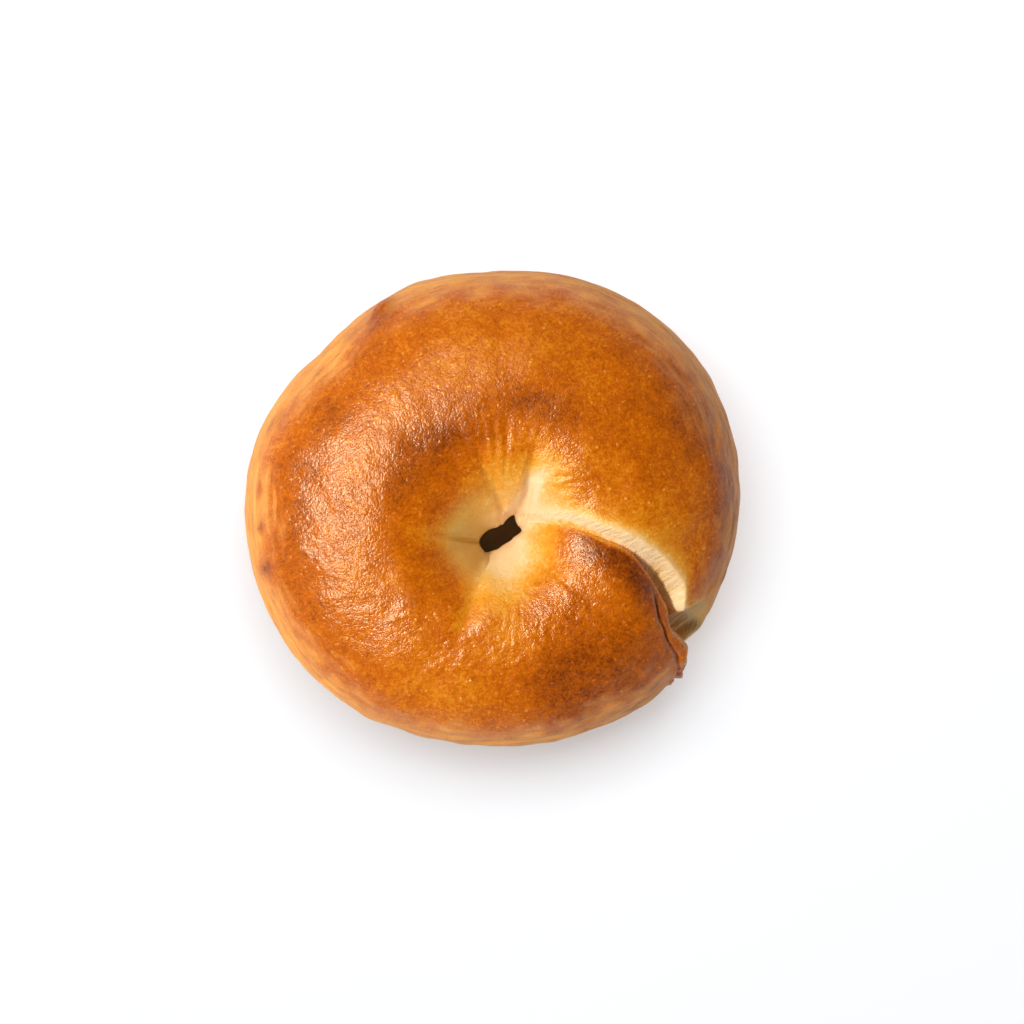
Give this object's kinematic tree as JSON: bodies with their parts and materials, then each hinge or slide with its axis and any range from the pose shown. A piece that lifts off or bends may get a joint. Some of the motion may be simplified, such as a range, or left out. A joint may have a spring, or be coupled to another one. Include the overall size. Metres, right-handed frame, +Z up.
{
  "type": "bagel",
  "caption": "Baked bagel: a fat ring of dough with a browned wrinkled crust, a pinched slot-like hole and its end lapped over in a curved fold.",
  "frame": {"origin": "under the middle of the bounding box, on the surface that the bagel rests on", "axes": "+Z up, out of the domed top; +X along the long way of the hole"},
  "size_m": [0.1194, 0.1148, 0.0401],
  "materials": {
    "crust": "satin"
  },
  "bodies": {
    "root": {"bagel": "crust"}
  },
  "joints": []
}
